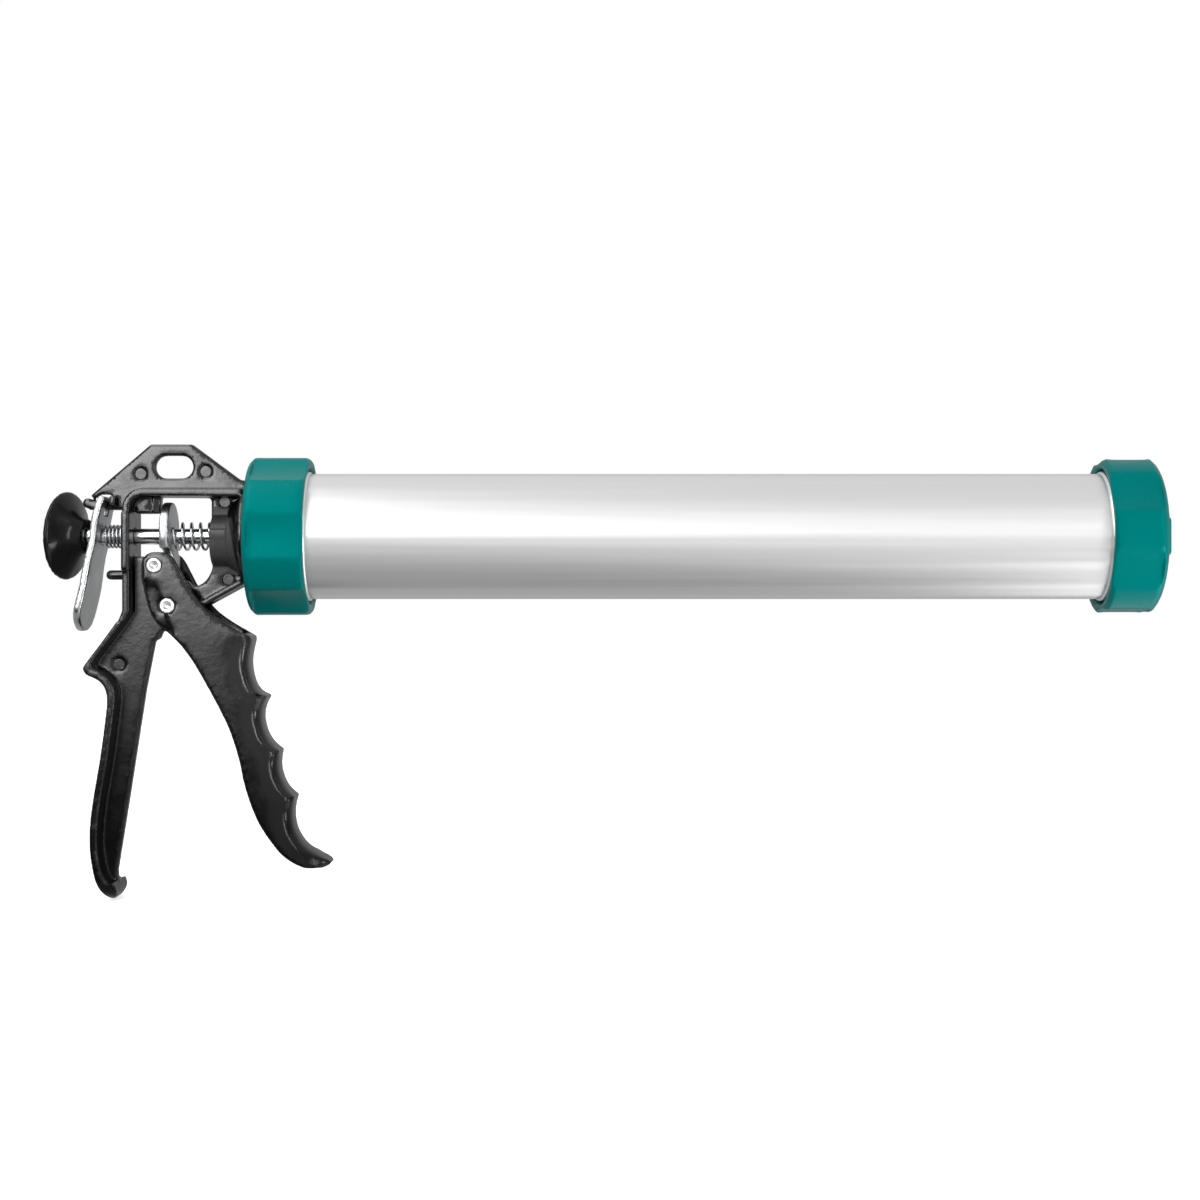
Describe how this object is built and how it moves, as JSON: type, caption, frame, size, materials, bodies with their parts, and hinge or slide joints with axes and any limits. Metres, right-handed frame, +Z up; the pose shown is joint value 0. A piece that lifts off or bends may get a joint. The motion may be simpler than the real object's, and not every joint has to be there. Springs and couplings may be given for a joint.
{
  "type": "caulking gun",
  "caption": "Closed-barrel caulking gun with screw caps at both ends, a push rod with a pull knob, and a squeeze trigger on a cast pistol handle.",
  "frame": {"origin": "centre of the nozzle opening, at the outer face of the front cap's collar", "axes": "+X out of the nozzle along the barrel, +Z up towards the hanging slot, +Y to the left when looking along +X"},
  "size_m": [0.4645, 0.0654, 0.1884],
  "materials": {
    "black_paint": "semi-gloss black paint on cast aluminium",
    "black_steel": "black lacquered steel plate",
    "zinc_steel": "satin zinc plate",
    "teal_plastic": "glossy moulded teal plastic",
    "seal_rubber": "matt black rubber",
    "barrel_aluminium": "satin, finely drawn along its length",
    "rod_chrome": "bright drawn bar",
    "black_plastic": "glossy black moulded plastic",
    "piston_plastic": "off-white moulded plastic",
    "spring_steel": "bright plated spring wire",
    "rivet_steel": "bright zinc plate"
  },
  "bodies": {
    "frame": {"frame": "black_paint", "barrel_plate": "black_steel", "plate_nut": "zinc_steel", "drive_spring": "spring_steel", "release_spring": "spring_steel"},
    "rear_cap": {"rear_cap": "teal_plastic"},
    "barrel": {"barrel": "barrel_aluminium", "rear_seal": "seal_rubber"},
    "front_seal": {"front_seal": "seal_rubber"},
    "front_cap": {"front_cap": "teal_plastic"},
    "rod": {"rod": "rod_chrome", "knob": "black_plastic", "piston_cup": "piston_plastic", "piston_rear_washer": "zinc_steel", "piston_front_washer": "zinc_steel", "piston_nuts": "zinc_steel"},
    "drive_plate": {"drive_plate": "zinc_steel"},
    "release_lever": {"release_lever": "zinc_steel"},
    "trigger": {"trigger": "black_paint", "trigger_rivet": "rivet_steel", "roller_rivet": "rivet_steel"},
    "drive_roller": {"drive_roller": "rivet_steel"}
  },
  "joints": [
    {"name": "rod_slide", "type": "slide", "parent": "frame", "child": "rod", "axis": [-1, 0, 0], "range_m": [0, 0.315]},
    {"name": "trigger_squeeze", "type": "hinge", "parent": "frame", "child": "trigger", "pos_m": [-0.4135, 0, -0.0288], "axis": [0, 1, 0], "range_deg": [0, 24], "stiffness_Nm_per_rad": 0.4, "springref_deg": -14.32},
    {"name": "drive_plate_slide", "type": "slide", "parent": "frame", "child": "drive_plate", "axis": [1, 0, 0], "range_m": [0, 0.0074], "deforming": ["drive_spring"]},
    {"name": "release_press", "type": "hinge", "parent": "frame", "child": "release_lever", "pos_m": [-0.4418, 0, 0.0128], "axis": [0, -1, 0], "range_deg": [0, 8], "stiffness_Nm_per_rad": 0.15, "springref_deg": -11.46, "deforming": ["release_spring"]},
    {"name": "roller_spin", "type": "hinge", "parent": "trigger", "child": "drive_roller", "pos_m": [-0.4189, 0, -0.0122], "axis": [0, 1, 0], "continuous": true},
    {"name": "rear_cap_turn", "type": "hinge", "parent": "frame", "child": "rear_cap", "pos_m": [-0.368, 0, 0], "axis": [-1, 0, 0], "range_deg": [0, 1440]},
    {"name": "barrel_slide", "type": "slide", "parent": "frame", "child": "barrel", "axis": [1, 0, 0], "range_m": [0, 0.0202]},
    {"name": "front_cap_slide", "type": "slide", "parent": "barrel", "child": "front_seal", "axis": [1, 0, 0], "range_m": [0, 0.0202]},
    {"name": "front_cap_turn", "type": "hinge", "parent": "front_seal", "child": "front_cap", "pos_m": [-0.02, 0, 0], "axis": [1, 0, 0], "range_deg": [0, 1440]}
  ],
  "couplings": [
    {"joint": "drive_plate_slide", "follows": "trigger_squeeze", "m_per_rad": 0.0172},
    {"joint": "barrel_slide", "follows": "rear_cap_turn", "m_per_rad": 0.00079577},
    {"joint": "front_cap_slide", "follows": "front_cap_turn", "m_per_rad": 0.00079577}
  ]
}
